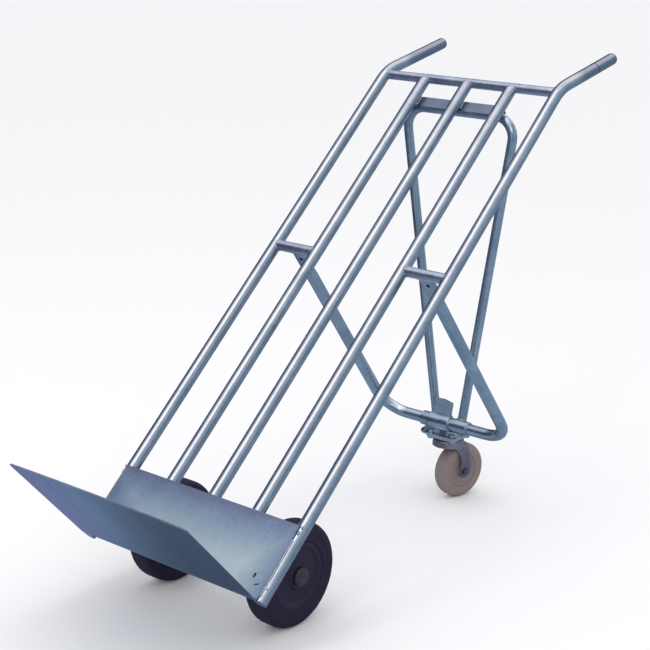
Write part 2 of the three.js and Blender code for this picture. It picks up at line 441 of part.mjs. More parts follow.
// swivelling part, turned a little about the kingpin
const swivel = new THREE.Group();
swivel.rotation.z = -rad(CASTER_TURN_DEG);
caster.add(swivel);
{
  const t = pz0 - GAP - 7 - GAP;                 // top of the lower race
  const crownT = 4, legT = 3.5, inner = CASTER_W / 2 + 2.6;
  let crown = solid(turned([[6.3, t], [20, t], [27, t - 0.8], [30, t + 1.6], [33, t + 1.6], [35, t - 2], [35.5, 128], [33, 128], [32.5, t - 5], [29, t - crownT - 1.5], [6.3, t - crownT - 1.5], [6.3, t]], 'z', 28));
  const z1 = t - 2.2, z0 = CASTER_R;
  // side outline of a fork leg: y to the rear, z up
  const side = [[-25, z1 - 1], [-25, 128.5], [-14, 127], [-4, 125], [6, 119], [14, 109], [20, 96], [24, 82], [CASTER_TRAIL - 15, z0 + 6]];
  for (let k = 0; k <= 6; k++) { const a = rad(190 + (160 * k) / 6); side.push([CASTER_TRAIL + 15 * Math.cos(a), z0 + 15 * Math.sin(a)]); }
  side.push([CASTER_TRAIL + 17, z0 + 8], [52, z0 + 17], [46.5, 103], [40, 124], [33, 132], [26, z1 - 1]);
  let fork = crown;
  for (const sx of [-1, 1]) fork = fork.add(solid(slabX(side, sx > 0 ? inner : -inner - legT, sx > 0 ? inner + legT : -inner)));
  // bridge between the legs under the crown
  fork = fork.add(solid(slabZ([[-inner - 1, -26], [inner + 1, -26], [inner + 1, 28], [-inner - 1, 28]], t - crownT - 1.5, t - 1.2)));
  fork = fork.subtract(solid(rodZ(6.3, 100, 200, 16)));
  fork = fork.subtract(solid(rodX(5.3, -60, 60, 12).translate(0, CASTER_TRAIL, CASTER_R)));
  piece('caster_fork', fork, FORK, swivel);
  const hub = new THREE.Group();
  hub.position.set(0, CASTER_TRAIL, CASTER_R);
  swivel.add(hub);
  const out = inner + legT + GAP;
  piece('caster_axle_bolt', solid(rodX(4.9, -out - 9, out + 1, 14)).add(solid(rodX(8.6, out, out + 6, 6))), FORK, hub);
  piece('caster_axle_nut', solid(rodX(8.6, -out - 7, -out, 6)).subtract(solid(rodX(5.25, -80, 80, 14))), FORK, hub);
  const w = CASTER_W / 2, r = CASTER_R, ri = 38;
  const prof = [[ri + GAP, -w + 2], [ri + 3, -w]];
  for (let k = 0; k <= 3; k++) { const a = (Math.PI / 2) * (k / 3); prof.push([r - 8 + 8 * Math.sin(a), -w + 8 - 8 * Math.cos(a)]); }
  for (let k = 0; k <= 3; k++) { const a = (Math.PI / 2) * (k / 3); prof.push([r - 8 + 8 * Math.cos(a), w - 8 + 8 * Math.sin(a)]); }
  prof.push([ri + 3, w], [ri + GAP, w - 2], [ri + GAP, -w + 2]);
  piece('caster_tyre', turned(prof, 'x', 32), GREY_RUBBER, hub);
  const b = 5 + GAP, h = inner - 0.8;
  piece('caster_hub', turned([[b, -h], [13, -h], [14, -w + 5], [31, -w + 5], [34, -w + 2.5], [ri, -w + 2.5], [ri, w - 2.5], [34, w - 2.5], [31, w - 5], [14, w - 5], [13, h], [b, h], [b, -h]], 'x', 24), GREY_RUBBER, hub);
}

export default hand_truck;
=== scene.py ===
import math
import random

import bpy
from mathutils import Matrix, Vector


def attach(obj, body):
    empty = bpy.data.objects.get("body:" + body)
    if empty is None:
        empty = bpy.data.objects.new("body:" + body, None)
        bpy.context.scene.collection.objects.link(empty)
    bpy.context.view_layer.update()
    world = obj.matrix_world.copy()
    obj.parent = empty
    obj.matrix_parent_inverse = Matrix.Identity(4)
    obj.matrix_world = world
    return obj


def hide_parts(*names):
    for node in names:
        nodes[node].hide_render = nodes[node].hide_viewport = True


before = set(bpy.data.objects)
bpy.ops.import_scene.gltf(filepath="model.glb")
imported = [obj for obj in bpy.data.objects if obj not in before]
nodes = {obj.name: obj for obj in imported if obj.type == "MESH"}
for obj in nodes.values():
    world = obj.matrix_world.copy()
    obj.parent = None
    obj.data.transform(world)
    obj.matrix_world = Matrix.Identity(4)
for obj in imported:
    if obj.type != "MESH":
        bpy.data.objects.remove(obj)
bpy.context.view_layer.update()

# ------------------------------------------------------------------ frame of the truck (mm in, metres out)
LEAN = math.radians(47.2)
SIN, COS = math.sin(LEAN), math.cos(LEAN)
Y0, Z0 = -455.66, 113.7602
TRUCK = Matrix(((1, 0, 0, 0), (0, SIN, -COS, Y0 / 1000), (0, COS, SIN, Z0 / 1000), (0, 0, 0, 1)))
LEG_A = math.radians(85.03)
LEG = TRUCK @ Matrix.Translation((0, 0.720, 0)) @ Matrix.Rotation(LEG_A, 4, "X")
KNUCKLE = Vector((0, 0.400752, 0.180397))
STRUT = Matrix.Translation(KNUCKLE)
AXLE = Vector((0, -0.2966508, 0.101))
CASTER = Vector((0, 0.413452, 0.0))
CASTER_HUB = Vector((0.007277, 0.447687, 0.0625))
CASTER_TURN = math.radians(-12)


def T(x, u, n, m=TRUCK):
    return m @ Vector((x / 1000, u / 1000, n / 1000))


# ------------------------------------------------------------------ materials
class Nodes:
    """A small helper for building one node material."""

    def __init__(self, name):
        self.mat = bpy.data.materials.new(name)
        self.mat.use_nodes = True
        self.t = self.mat.node_tree
        self.t.nodes.clear()
        self.out = self.t.nodes.new("ShaderNodeOutputMaterial")
        self.bsdf = self.t.nodes.new("ShaderNodeBsdfPrincipled")
        self.t.links.new(self.bsdf.outputs[0], self.out.inputs[0])
        self.pos = self.t.nodes.new("ShaderNodeTexCoord").outputs["Object"]

    def link(self, a, b):
        self.t.links.new(a, b)

    def put(self, socket, value):
        if hasattr(value, "is_linked"):
            self.link(value, socket)
        else:
            socket.default_value = value

    def mapped(self, rotation=(0, 0, 0), scale=(1, 1, 1), location=(0, 0, 0), source=None):
        n = self.t.nodes.new("ShaderNodeMapping")
        self.link(source or self.pos, n.inputs["Vector"])
        n.inputs["Rotation"].default_value = rotation
        n.inputs["Scale"].default_value = scale
        n.inputs["Location"].default_value = location
        return n.outputs[0]

    def noise(self, scale, detail=3, rough=0.5, distortion=0.0, source=None):
        n = self.t.nodes.new("ShaderNodeTexNoise")
        self.link(source or self.pos, n.inputs["Vector"])
        n.inputs["Scale"].default_value = scale
        n.inputs["Detail"].default_value = detail
        n.inputs["Roughness"].default_value = rough
        n.inputs["Distortion"].default_value = distortion
        return n.outputs["Fac"]

    def cells(self, scale, source=None, what="Distance", feature="F1"):
        n = self.t.nodes.new("ShaderNodeTexVoronoi")
        n.feature = feature
        self.link(source or self.pos, n.inputs["Vector"])
        n.inputs["Scale"].default_value = scale
        return n.outputs[what]

    def ramp(self, fac, stops, mode="LINEAR"):
        n = self.t.nodes.new("ShaderNodeValToRGB")
        n.color_ramp.interpolation = mode
        while len(n.color_ramp.elements) < len(stops):
            n.color_ramp.elements.new(0.5)
        for e, (p, c) in zip(n.color_ramp.elements, stops):
            e.position = p
            e.color = (*c, 1) if isinstance(c, tuple) else (c, c, c, 1)
        self.link(fac, n.inputs[0])
        return n.outputs["Color"]

    def mix(self, fac, a, b, mode="MIX"):
        n = self.t.nodes.new("ShaderNodeMix")
        n.data_type = "RGBA"
        n.blend_type = mode
        self.put(n.inputs["Factor"], fac)
        for socket, v in ((n.inputs[6], a), (n.inputs[7], b)):
            if isinstance(v, tuple):
                v = (*v, 1)
            self.put(socket, v)
        return n.outputs[2]

    def maths(self, op, a, b=0.0, clamp=False):
        n = self.t.nodes.new("ShaderNodeMath")
        n.operation = op
        n.use_clamp = clamp
        self.put(n.inputs[0], a)
        self.put(n.inputs[1], b)
        return n.outputs[0]

    def range(self, v, a, b, c=0.0, d=1.0):
        n = self.t.nodes.new("ShaderNodeMapRange")
        self.link(v, n.inputs["Value"])
        for k, x in zip(("From Min", "From Max", "To Min", "To Max"), (a, b, c, d)):
            n.inputs[k].default_value = x
        return n.outputs[0]

    def split(self, v):
        n = self.t.nodes.new("ShaderNodeSeparateXYZ")
        self.link(v, n.inputs[0])
        return n.outputs

    def bump(self, height, strength, distance=0.001, normal=None):
        n = self.t.nodes.new("ShaderNodeBump")
        n.inputs["Strength"].default_value = strength
        n.inputs["Distance"].default_value = distance
        self.link(height, n.inputs["Height"])
        if normal:
            self.link(normal, n.inputs["Normal"])
        return n.outputs[0]

    def done(self, color, rough, metallic, normal=None, **plain):
        b = self.bsdf.inputs
        if isinstance(color, tuple):
            color = (*color, 1)
        self.put(b["Base Color"], color)
        self.put(b["Roughness"], rough)
        b["Metallic"].default_value = metallic
        if normal:
            self.link(normal, b["Normal"])
        for k, v in plain.items():
            b[k.replace("_", " ")].default_value = v
        return self.mat


def lin(r, g, b):
    """linear colour of 8-bit display values"""
    def f(c):
        c /= 255
        return c / 12.92 if c <= 0.04045 else ((c + 0.055) / 1.055) ** 2.4
    return (f(r), f(g), f(b))


TRUCK_ROT = (LEAN - math.pi / 2, 0, 0)


def zinc(name, low, mid, high, rough=(0.2, 0.34), turn=TRUCK_ROT, stretch=1.0, grime=0.2, spangle=0.0, bump=0.2, violet=(0.44, 0.40, 0.52), grip=None):
    """bright zinc plating on drawn steel: faint draw lines along local Y, cloudy tint, specks and small scratches"""
    m = Nodes(name)
    p = m.mapped(rotation=turn)
    along = m.mapped(scale=(420, 9 * stretch, 420), source=p)
    lines = m.noise(1.0, 4, 0.65, source=along)
    broad = m.noise(9, 3, 0.55, 0.4, source=p)
    cloud = m.noise(34, 4, 0.6, 0.6, source=p)
    tint = m.maths("ADD", m.maths("MULTIPLY", broad, 0.55), m.maths("MULTIPLY", cloud, 0.45))
    col = m.ramp(tint, [(0.33, low), (0.5, mid), (0.68, high)])
    # thin blue and violet passivation tint, in large soft patches
    hue = m.noise(5.5, 2, 0.5, 0.8, source=m.mapped(location=(3.1, 1.7, 0.4), source=p))
    col = m.mix(m.range(hue, 0.42, 0.7, 0, 0.4), col, m.mix(0.5, col, violet))
    col = m.mix(m.range(lines, 0.3, 0.72, 0.0, 0.16), col, tuple(0.66 * c for c in mid))
    if grip:
        # the handled ends are duller and greyer than the rest of the tube
        geo = m.t.nodes.new("ShaderNodeNewGeometry")
        gx, gy, gz = m.split(geo.outputs["Position"])
        col = m.mix(m.range(gy, grip, grip + 0.03, 0.0, 1.0), col, (0.255, 0.275, 0.335))
    # dull specks and stains
    specks = m.ramp(m.noise(240, 2, 0.7, source=p), [(0.0, 1.0), (0.30, 1.0), (0.36, 0.0)])
    stain = m.ramp(m.noise(17, 5, 0.7, 1.2, source=m.mapped(location=(9, 2, 5), source=p)), [(0.0, 0.0), (0.56, 0.0), (0.74, 1.0)])
    dirt = m.maths("MULTIPLY", m.maths("MAXIMUM", m.maths("MULTIPLY", specks, 0.8), stain), grime)
    col = m.mix(dirt, col, lin(84, 82, 92))
    scr = m.noise(1.0, 2, 0.5, 0.2, source=m.mapped(rotation=(0, 0, 0.35), scale=(900, 45, 900), source=p))
    scratch = m.ramp(scr, [(0.0, 0.0), (0.68, 0.0), (0.74, 1.0)])
    col = m.mix(m.maths("MULTIPLY", scratch, 0.35), col, tuple(min(1, 1.45 * c) for c in high))
    r = m.range(m.maths("ADD", m.maths("MULTIPLY", cloud, 0.6), m.maths("MULTIPLY", lines, 0.4)), 0.35, 0.65, *rough)
    r = m.maths("ADD", r, m.maths("MULTIPLY", dirt, 0.5), clamp=True)
    h = m.maths("ADD", m.maths("MULTIPLY", lines, 0.6), m.maths("MULTIPLY", m.noise(700, 2, 0.6, source=p), 0.4))
    nrm = m.bump(h, bump, 0.00003)
    nrm = m.bump(cloud, 0.10, 0.0004, nrm)
    if spangle:
        nrm = m.bump(m.cells(150, source=p), spangle, 0.0006, nrm)
    return m.done(col, r, 1.0, nrm)


RAIL = zinc("zinc_rails", (0.36, 0.385, 0.43), (0.45, 0.47, 0.51), (0.56, 0.575, 0.60), rough=(0.13, 0.2), grip=0.485)
BAR = zinc("zinc_crossbar", (0.510, 0.511, 0.592), (0.646, 0.643, 0.720), (0.816, 0.808, 0.880), rough=(0.2, 0.3), turn=(0, 0, math.pi / 2))
LEGM = zinc("zinc_leg", (0.410, 0.461, 0.520), (0.538, 0.592, 0.650), (0.691, 0.741, 0.793), rough=(0.17, 0.28), turn=(LEAN - math.pi / 2 - LEG_A, 0, 0), grime=0.2)
STRUTM = zinc("zinc_strut", (0.378, 0.433, 0.500), (0.500, 0.555, 0.622), (0.659, 0.708, 0.769), rough=(0.17, 0.28), turn=(math.pi / 2, 0, 0), grime=0.2)
FIT = zinc("zinc_fittings", (0.38, 0.40, 0.44), (0.5, 0.52, 0.56), (0.66, 0.68, 0.71), rough=(0.2, 0.36), turn=(0, 0, 0), grime=0.35, stretch=30)
SADDLE = zinc("zinc_saddle", (0.36, 0.42, 0.48), (0.50, 0.56, 0.62), (0.70, 0.74, 0.78), rough=(0.14, 0.28), turn=(0, 0, 0), grime=0.15, stretch=30)
CATCHM = zinc("zinc_catch", (0.155, 0.185, 0.24), (0.215, 0.25, 0.31), (0.31, 0.35, 0.40), rough=(0.3, 0.45), turn=(0, 0, math.pi / 2), grime=0.2)
DARKFIT = zinc("zinc_fittings_dark", (0.144, 0.144, 0.204), (0.228, 0.228, 0.312), (0.360, 0.360, 0.456), rough=(0.34, 0.5), turn=(0, 0, 0), grime=0.5, stretch=30)
FORKM = zinc("caster_pressed_steel", (0.247, 0.188, 0.210), (0.371, 0.300, 0.323), (0.544, 0.450, 0.465), rough=(0.36, 0.52), turn=(0, 0, 0), grime=0.5, stretch=30)


def plate_material():
    """plated sheet: cloudy on the back plate, streaked on the toe plate, violet to teal passivation tints, with
    painted shade and painted highlights laid over both
    """
    m = Nodes("zinc_sheet")
    p = m.mapped(rotation=TRUCK_ROT)                       # x across, y up the rails, z out of the load side
    off = m.split(m.mapped(rotation=TRUCK_ROT, location=tuple(-c for c in (Matrix.Rotation(LEAN - math.pi / 2, 3, "X") @ Vector((0, Y0 / 1000, Z0 / 1000))))))
    x, u, n = off[0], off[1], off[2]
    toe = m.range(n, 0.020, 0.024)
    # back plate: soft fine mottling, with painted shade that darkens it and turns it more violet towards its top and
    # side edges, and a painted highlight that keeps it paler over the bend
    c1 = m.noise(15, 6, 0.68, 0.5, source=p)
    c2 = m.noise(95, 5, 0.72, 0.4, source=p)
    cloud = m.maths("ADD", m.maths("MULTIPLY", c1, 0.5), m.maths("MULTIPLY", c2, 0.5))
    back_mottle_and_shade = m.maths("MAXIMUM", m.range(u, 0.055, 0.155), m.maths("MAXIMUM", m.range(x, 0.15, 0.225, 0.0, 0.85), m.range(x, -0.08, -0.23, 0.0, 0.9)))
    back_mottle_and_shade = m.maths("ADD", back_mottle_and_shade, m.maths("MULTIPLY", m.maths("SUBTRACT", cloud, 0.5), 0.9), clamp=True)
    back = m.ramp(back_mottle_and_shade, [(0.0, (0.60, 0.67, 0.66)), (0.3, (0.455, 0.545, 0.59)), (0.65, (0.315, 0.395, 0.50)), (1.0, (0.205, 0.235, 0.345))])
    # toe plate: streaks that run with the sheet's depth
    s1 = m.noise(1.0, 5, 0.6, 0.3, source=m.mapped(rotation=(0, 0, 0), scale=(34, 30, 5), source=p))
    s2 = m.noise(1.0, 3, 0.6, 0.5, source=m.mapped(rotation=(0.0, 0.5, 0.0), scale=(120, 100, 9), source=p))
    # violet-to-teal passivation tint across the toe plate, with painted shade that darkens it to navy towards its
    # right side
    toe_tint_and_shade = m.maths("ADD", m.range(x, -0.22, 0.22), m.maths("MULTIPLY", m.maths("SUBTRACT", s1, 0.5), 0.3))
    front = m.ramp(toe_tint_and_shade, [(0.0, (0.50, 0.40, 0.66)), (0.12, (0.44, 0.42, 0.66)), (0.36, (0.36, 0.44, 0.60)), (0.55, (0.27, 0.32, 0.41)), (0.75, (0.195, 0.225, 0.295)), (1.0, (0.185, 0.19, 0.29))])
    front = m.mix(m.range(s2, 0.48, 0.75, 0.0, 0.22), front, (0.46, 0.50, 0.64))
    front = m.mix(m.range(s1, 0.48, 0.25, 0.0, 0.35), front, (0.15, 0.17, 0.25))
    # painted highlight: a lighter band along the toe plate's bend
    front = m.mix(m.range(n, 0.040, 0.022, 0.0, 0.4), front, (0.40, 0.44, 0.50))
    col = m.mix(toe, back, front)
    specks = m.ramp(m.noise(210, 2, 0.7, source=p), [(0.0, 1.0), (0.29, 1.0), (0.34, 0.0)])
    col = m.mix(m.maths("MULTIPLY", specks, 0.4), col, (0.12, 0.12, 0.16))
    scr = m.noise(1.0, 2, 0.5, 0.2, source=m.mapped(rotation=(0.3, 0.2, 0.9), scale=(700, 24, 700), source=p))
    scratch = m.ramp(scr, [(0.0, 0.0), (0.69, 0.0), (0.73, 1.0)])
    col = m.mix(m.maths("MULTIPLY", scratch, 0.3), col, (0.62, 0.66, 0.72))
    r = m.range(m.maths("ADD", m.maths("MULTIPLY", c2, 0.6), m.maths("MULTIPLY", s2, 0.4)), 0.35, 0.65, 0.36, 0.5)
    h = m.maths("ADD", m.maths("MULTIPLY", m.noise(520, 3, 0.7, source=p), 0.5), m.maths("MULTIPLY", s2, 0.5))
    nrm = m.bump(h, 0.25, 0.0001)
    nrm = m.bump(c1, 0.12, 0.0012, nrm)
    return m.done(col, r, 1.0, nrm)


PLATE = plate_material()


def weld_material():
    m = Nodes("weld_bead")
    n = m.noise(260, 4, 0.65)
    col = m.ramp(n, [(0.3, (0.30, 0.31, 0.35)), (0.5, (0.48, 0.50, 0.54)), (0.72, (0.68, 0.70, 0.72))])
    burn = m.noise(70, 3, 0.6, 0.5)
    col = m.mix(m.range(burn, 0.5, 0.75, 0.0, 0.5), col, (0.30, 0.27, 0.27))
    return m.done(col, m.range(n, 0.3, 0.7, 0.28, 0.5), 1.0, m.bump(m.noise(900, 3, 0.6), 0.5, 0.0003))


WELD = weld_material()


def rubber(name, base, dust, rough=(0.5, 0.68), centre=None, axis=None, tread_r=None, tread_col=None, spec=0.35):
    """solid rubber: fine grain, scuffs, dust, and a lighter tread"""
    m = Nodes(name)
    n1 = m.noise(55, 5, 0.65, 0.4)
    n2 = m.noise(380, 4, 0.7)
    col = m.mix(m.range(n1, 0.35, 0.7, 0.0, 0.55), base, dust)
    col = m.mix(m.range(n2, 0.55, 0.75, 0.0, 0.35), col, tuple(1.5 * c for c in dust))
    if centre is not None:
        # distance from the axle picks out the tread and the sidewall's moulded rings
        rel = m.mapped(location=tuple(-c for c in centre))
        if axis:
            rel = m.mapped(rotation=(0, 0, -axis), source=rel)
        s = m.split(rel)
        q = m.maths("SQRT", m.maths("ADD", m.maths("MULTIPLY", s[1], s[1]), m.maths("MULTIPLY", s[2], s[2])))
        tread = m.range(q, tread_r - 0.009, tread_r - 0.0005)
        col = m.mix(m.maths("MULTIPLY", tread, m.range(n1, 0.2, 0.6, 0.45, 1.0)), col, tread_col)
        rings = m.maths("SINE", m.maths("MULTIPLY", q, 2600.0))
        bump_in = m.maths("ADD", m.maths("MULTIPLY", rings, 0.06), n2)
    else:
        bump_in = n2
    scr = m.noise(1.0, 2, 0.5, 0.4, source=m.mapped(rotation=(0.5, 0.3, 0.7), scale=(500, 30, 500)))
    scuff = m.ramp(scr, [(0.0, 0.0), (0.66, 0.0), (0.75, 1.0)])
    col = m.mix(m.maths("MULTIPLY", scuff, 0.3), col, tuple(2.2 * c for c in dust))
    nrm = m.bump(bump_in, 0.25, 0.0004)
    nrm = m.bump(n1, 0.1, 0.002, nrm)
    return m.done(col, m.range(n1, 0.3, 0.7, *rough), 0.0, nrm, Specular_IOR_Level=spec)


TYRE = rubber("tyre_dark_rubber", (0.017, 0.010, 0.029), (0.027, 0.018, 0.043), centre=AXLE, tread_r=0.101, tread_col=(0.027, 0.017, 0.042), spec=0.18)
HUBP = rubber("hub_dark_plastic", (0.018, 0.011, 0.030), (0.028, 0.019, 0.046), rough=(0.34, 0.5), spec=0.25)
HUBCAP = rubber("hub_cap_scuffed", (0.018, 0.013, 0.031), (0.046, 0.044, 0.066), rough=(0.26, 0.42), spec=0.5)
CTYRE = rubber("caster_grey_rubber", (0.215, 0.175, 0.165), (0.255, 0.210, 0.197), centre=CASTER_HUB, axis=CASTER_TURN, tread_r=0.0625, tread_col=(0.215, 0.180, 0.172), rough=(0.55, 0.72), spec=0.2)
CHUB = rubber("caster_grey_plastic", (0.21, 0.172, 0.163), (0.24, 0.20, 0.19), rough=(0.45, 0.6), spec=0.25)
DARK_RING = rubber("dark_ring_rubber", lin(30, 30, 42), lin(44, 44, 58), rough=(0.6, 0.75))


# ------------------------------------------------------------------ carried-over CAD nodes: edges, smoothing and material
def finish_node(name, material, bevel=0.0, angle=34):
    o = nodes[name]
    me = o.data
    for a in ("custom_normal", "sharp_face", "sharp_edge"):
        if a in me.attributes:
            me.attributes.remove(me.attributes[a])
    me.shade_smooth()
    me.materials.clear()
    me.materials.append(material)
    w = o.modifiers.new("weld", "WELD")
    w.merge_threshold = 2e-6
    if bevel:
        b = o.modifiers.new("edges", "BEVEL")
        b.width = bevel / 1000
        b.segments = 2
        b.limit_method = "ANGLE"
        b.angle_limit = math.radians(40)
        b.use_clamp_overlap = True
    s = o.modifiers.new("split", "EDGE_SPLIT")
    s.split_angle = math.radians(angle)
    if bevel:
        n = o.modifiers.new("normals", "WEIGHTED_NORMAL")
        n.keep_sharp = True
    return o


for n in ("rail_outer_left", "rail_outer_right", "rail_inner_left", "rail_inner_centre", "rail_inner_right", "handle_cap_left", "handle_cap_right"):
    finish_node(n, RAIL)
finish_node("top_crossbar", BAR)
for n in ("pivot_spindle_left", "pivot_spindle_right", "leg_sleeve_left", "leg_sleeve_right"):
    finish_node(n, BAR)
finish_node("toe_plate", PLATE, bevel=0.5)
finish_node("leg_tube", LEGM)
finish_node("strut_tube", STRUTM)
finish_node("strut_catch", CATCHM, bevel=0.5)
for n in ("axle_bracket_left", "axle_bracket_right"):
    finish_node(n, LEGM, bevel=0.4)
for n in ("stub_axle_left", "stub_axle_right"):
    finish_node(n, FIT)
finish_node("knuckle_sleeve", LEGM)
for n in ("strut_saddle", "cradle_web_left", "cradle_web_right", "caster_base", "caster_plate"):
    finish_node(n, SADDLE, bevel=0.4)
for i in range(1, 5):
    finish_node(f"caster_bolt_{i}", FIT, bevel=0.35)
    finish_node(f"caster_nut_{i}", FIT, bevel=0.35)
finish_node("caster_race", FORKM)
finish_node("caster_kingpin", FIT)
finish_node("caster_fork", FORKM, bevel=0.3)
finish_node("caster_axle_bolt", DARKFIT, bevel=0.35)
finish_node("caster_axle_nut", DARKFIT, bevel=0.35)


# ------------------------------------------------------------------ new pieces
def make(name, verts, faces, material, body, smooth=True):
    me = bpy.data.meshes.new(name)
    me.from_pydata(verts, [], faces)
    me.validate()
    me.materials.append(material)
    if smooth:
        me.shade_smooth()
    o = bpy.data.objects.new(name, me)
    bpy.context.scene.collection.objects.link(o)
    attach(o, body)
    return o


def lathe(profile, place, seg=96):
    """closed profile [(radius, along)] in mm, turned about local X of the matrix"""
    verts, faces = [], []
    k = len(profile)
    for i in range(seg):
        a = 2 * math.pi * i / seg
        for r, x in profile:
            verts.append(place @ Vector((x / 1000, r * math.cos(a) / 1000, r * math.sin(a) / 1000)))
    for i in range(seg):
        j = (i + 1) % seg
        for q in range(k):
            w = (q + 1) % k
            faces.append((i * k + q, i * k + w, j * k + w, j * k + q))
    return verts, faces


def outline(corners, step=4):
    """profile with rounded corners: [(r, x, rounding)]"""
    pts = []
    n = len(corners)
    for i, (r, x, c) in enumerate(corners):
        p = Vector((r, x))
        a = Vector(corners[i - 1][:2]) - p
        b = Vector(corners[(i + 1) % n][:2]) - p
        if c <= 0:
            pts.append((r, x))
            continue
        c = min(c, a.length * 0.49, b.length * 0.49)
        s, e = p + a.normalized() * c, p + b.normalized() * c
        for k in range(step + 1):
            t = k / step
            q = s * (1 - t) ** 2 + p * 2 * t * (1 - t) + e * t * t
            pts.append((q.x, q.y))
    return pts


def bead(name, points, r, body, seed=1, closed=False, flat=1.0, pitch=2.3, mat=None):
    """a welded bead along a line of points (metres): overlapping ripples, a little uneven"""
    rnd = random.Random(seed)
    pts = [Vector(p) for p in points]
    if closed:
        pts.append(pts[0])
    seglen = [(pts[i + 1] - pts[i]).length for i in range(len(pts) - 1)]
    total = sum(seglen)
    n = max(6, int(total / 0.0006))
    line = []
    for k in range(n + (0 if closed else 1)):
        d = total * k / n
        i = 0
        while i < len(seglen) - 1 and d > seglen[i]:
            d -= seglen[i]
            i += 1
        line.append(pts[i].lerp(pts[i + 1], min(1, d / max(seglen[i], 1e-9))))
    m = len(line)
    ring = 8
    verts, faces = [], []
    drift = 0.0
    for k, p in enumerate(line):
        a = line[(k - 1) % m] if closed or k else p
        b = line[(k + 1) % m] if closed or k < m - 1 else p
        t = (b - a).normalized()
        ref = Vector((0.31, 0.52, 0.79))
        e1 = t.cross(ref).normalized()
        e2 = t.cross(e1)
        s = total * k / n * 1000 / pitch
        drift += rnd.uniform(-0.03, 0.03)
        drift *= 0.9
        rr = r / 1000 * (0.84 + 0.2 * abs(math.sin(math.pi * s)) + drift)
        if not closed:
            rr *= math.sqrt(max(0.02, min(1, (k + 0.3) * 0.6 / r, (m - k - 0.7) * 0.6 / r)))
        for q in range(ring):
            g = 2 * math.pi * q / ring
            verts.append(p + e1 * rr * math.cos(g) + e2 * rr * math.sin(g) * flat)
    last = m if closed else m - 1
    for k in range(last):
        j = (k + 1) % m
        for q in range(ring):
            w = (q + 1) % ring
            faces.append((k * ring + q, k * ring + w, j * ring + w, j * ring + q))
    if not closed:
        faces.append(tuple(range(ring)))
        faces.append(tuple((m - 1) * ring + q for q in reversed(range(ring))))
    return make(name, verts, faces, mat or WELD, body)


def meet(x_rail, side, u_bar, n_bar, r_bar, r_rail=12.5, grow=0.6, count=40):
    """where a cross tube's surface runs into a rail's surface"""
    out = []
    for i in range(count):
        a = 2 * math.pi * i / count
        n = n_bar + (r_bar + grow) * math.sin(a)
        u = u_bar + (r_bar + grow) * math.cos(a)
        x = x_rail + side * math.sqrt(max(0.0, (r_rail + grow) ** 2 - n * n))
        out.append(T(x, u, n))
    return out


seed = 10
# crossbar to every rail
for tag, xr, sides in (("outer_left", -220, (1,)), ("inner_left", -110, (-1, 1)), ("inner_centre", 0, (-1, 1)), ("inner_right", 110, (-1, 1)), ("outer_right", 220, (-1,))):
    for s in sides:
        seed += 1
        bead(f"weld_crossbar_{tag}_{'a' if s < 0 else 'b'}", meet(xr, s, 1204, -3, 10, grow=0.3), 0.35, "frame", seed, closed=True, mat=BAR)
# pivot spindle collars to the rails
for tag, sx in (("left", -1), ("right", 1)):
    for end, xr, s in (("in", 110, 1), ("out", 220, -1)):
        seed += 1
        bead(f"weld_pivot_{tag}_{end}", meet(sx * xr, sx * s, 720, 0, 11, grow=0.3), 1.1, "frame", seed, closed=True)
# catch angle to the inner rails
for tag, xr in (("left", -110), ("centre", 0), ("right", 110)):
    for k, (xa, n) in enumerate(((-9.4, -9.4), (9.4, -9.4))):
        if (xr < 0 and xa < 0) or (xr > 0 and xa > 0):
            continue
        seed += 1
        bead(f"weld_catch_{tag}_{k + 1}", [T(xr + xa, 1140, n - 1.5), T(xr + xa * 1.02, 1150, n - 1.3), T(xr + xa, 1160, n - 1.5)], 2.1, "frame", seed)
# plate to the outer rails: a long bead up each edge, with heavier stops at its ends
for tag, sx in (("left", -1), ("right", 1)):
    for k, (ua, ub, xx, nn, r) in enumerate(((11, 128, 222.2, 13.6, 1.5), (139, 147, 224.5, 13.0, 1.9), (152, 158, 226.0, 12.4, 2.2), (27, 31, 226.5, 12.2, 1.9), (2.0, 6.5, 226.0, 11.0, 2.2))):
        seed += 1
        bead(f"weld_plate_{tag}_{k + 1}", [T(sx * xx, ua, nn), T(sx * xx, (ua + ub) / 2, nn + 0.1), T(sx * xx, ub, nn)], r, "frame", seed)
for tag, xr in (("left", -110), ("centre", 0), ("right", 110)):
    seed += 1
    bead(f"weld_plate_top_{tag}", [T(xr - 6, 157, 12.0), T(xr, 157.2, 12.6), T(xr + 6, 157, 12.0)], 1.4, "frame", seed, mat=RAIL)
# axle brackets to the inner rails
for tag, sx in (("left", -1), ("right", 1)):
    for k, (ua, ub) in enumerate(((34, 62), (84, 112), (132, 159))):
        for side in (-1, 1):
            seed += 1
            x = sx * 110 + side * 5.4
            bead(f"weld_bracket_{tag}_{k + 1}{'a' if side < 0 else 'b'}", [T(x, ua, -12.1), T(x, ub, -12.1)], 1.7, "frame", seed)
# leg paddles to their sleeves
for tag, sx in (("left", -1), ("right", 1)):
    for side, z in (("front", 1), ("back", -1)):
        seed += 1
        bead(f"weld_paddle_{tag}_{side}", [T(sx * 143, -11.2, z * 4.2, LEG), T(sx * 162, -11.2, z * 4.2, LEG), T(sx * 181, -11.2, z * 4.2, LEG)], 1.6, "support_leg", seed)
# strut feet to the knuckle sleeve
for tag, sx in (("left", -1), ("right", 1)):
    pts = []
    for i in range(25):
        a = math.radians(-218 + 256 * i / 24)
        y = 12 + 10.8 * math.sin(a)
        z = math.sqrt(max(0.0, 16.8 ** 2 - min(y, 16.2) ** 2))
        pts.append(STRUT @ Vector(((sx * 34.9 + 10.8 * math.cos(a)) / 1000, y / 1000, max(z, 5) / 1000)))
    seed += 1
    bead(f"weld_strut_foot_{tag}", pts, 1.6, "support_strut", seed)
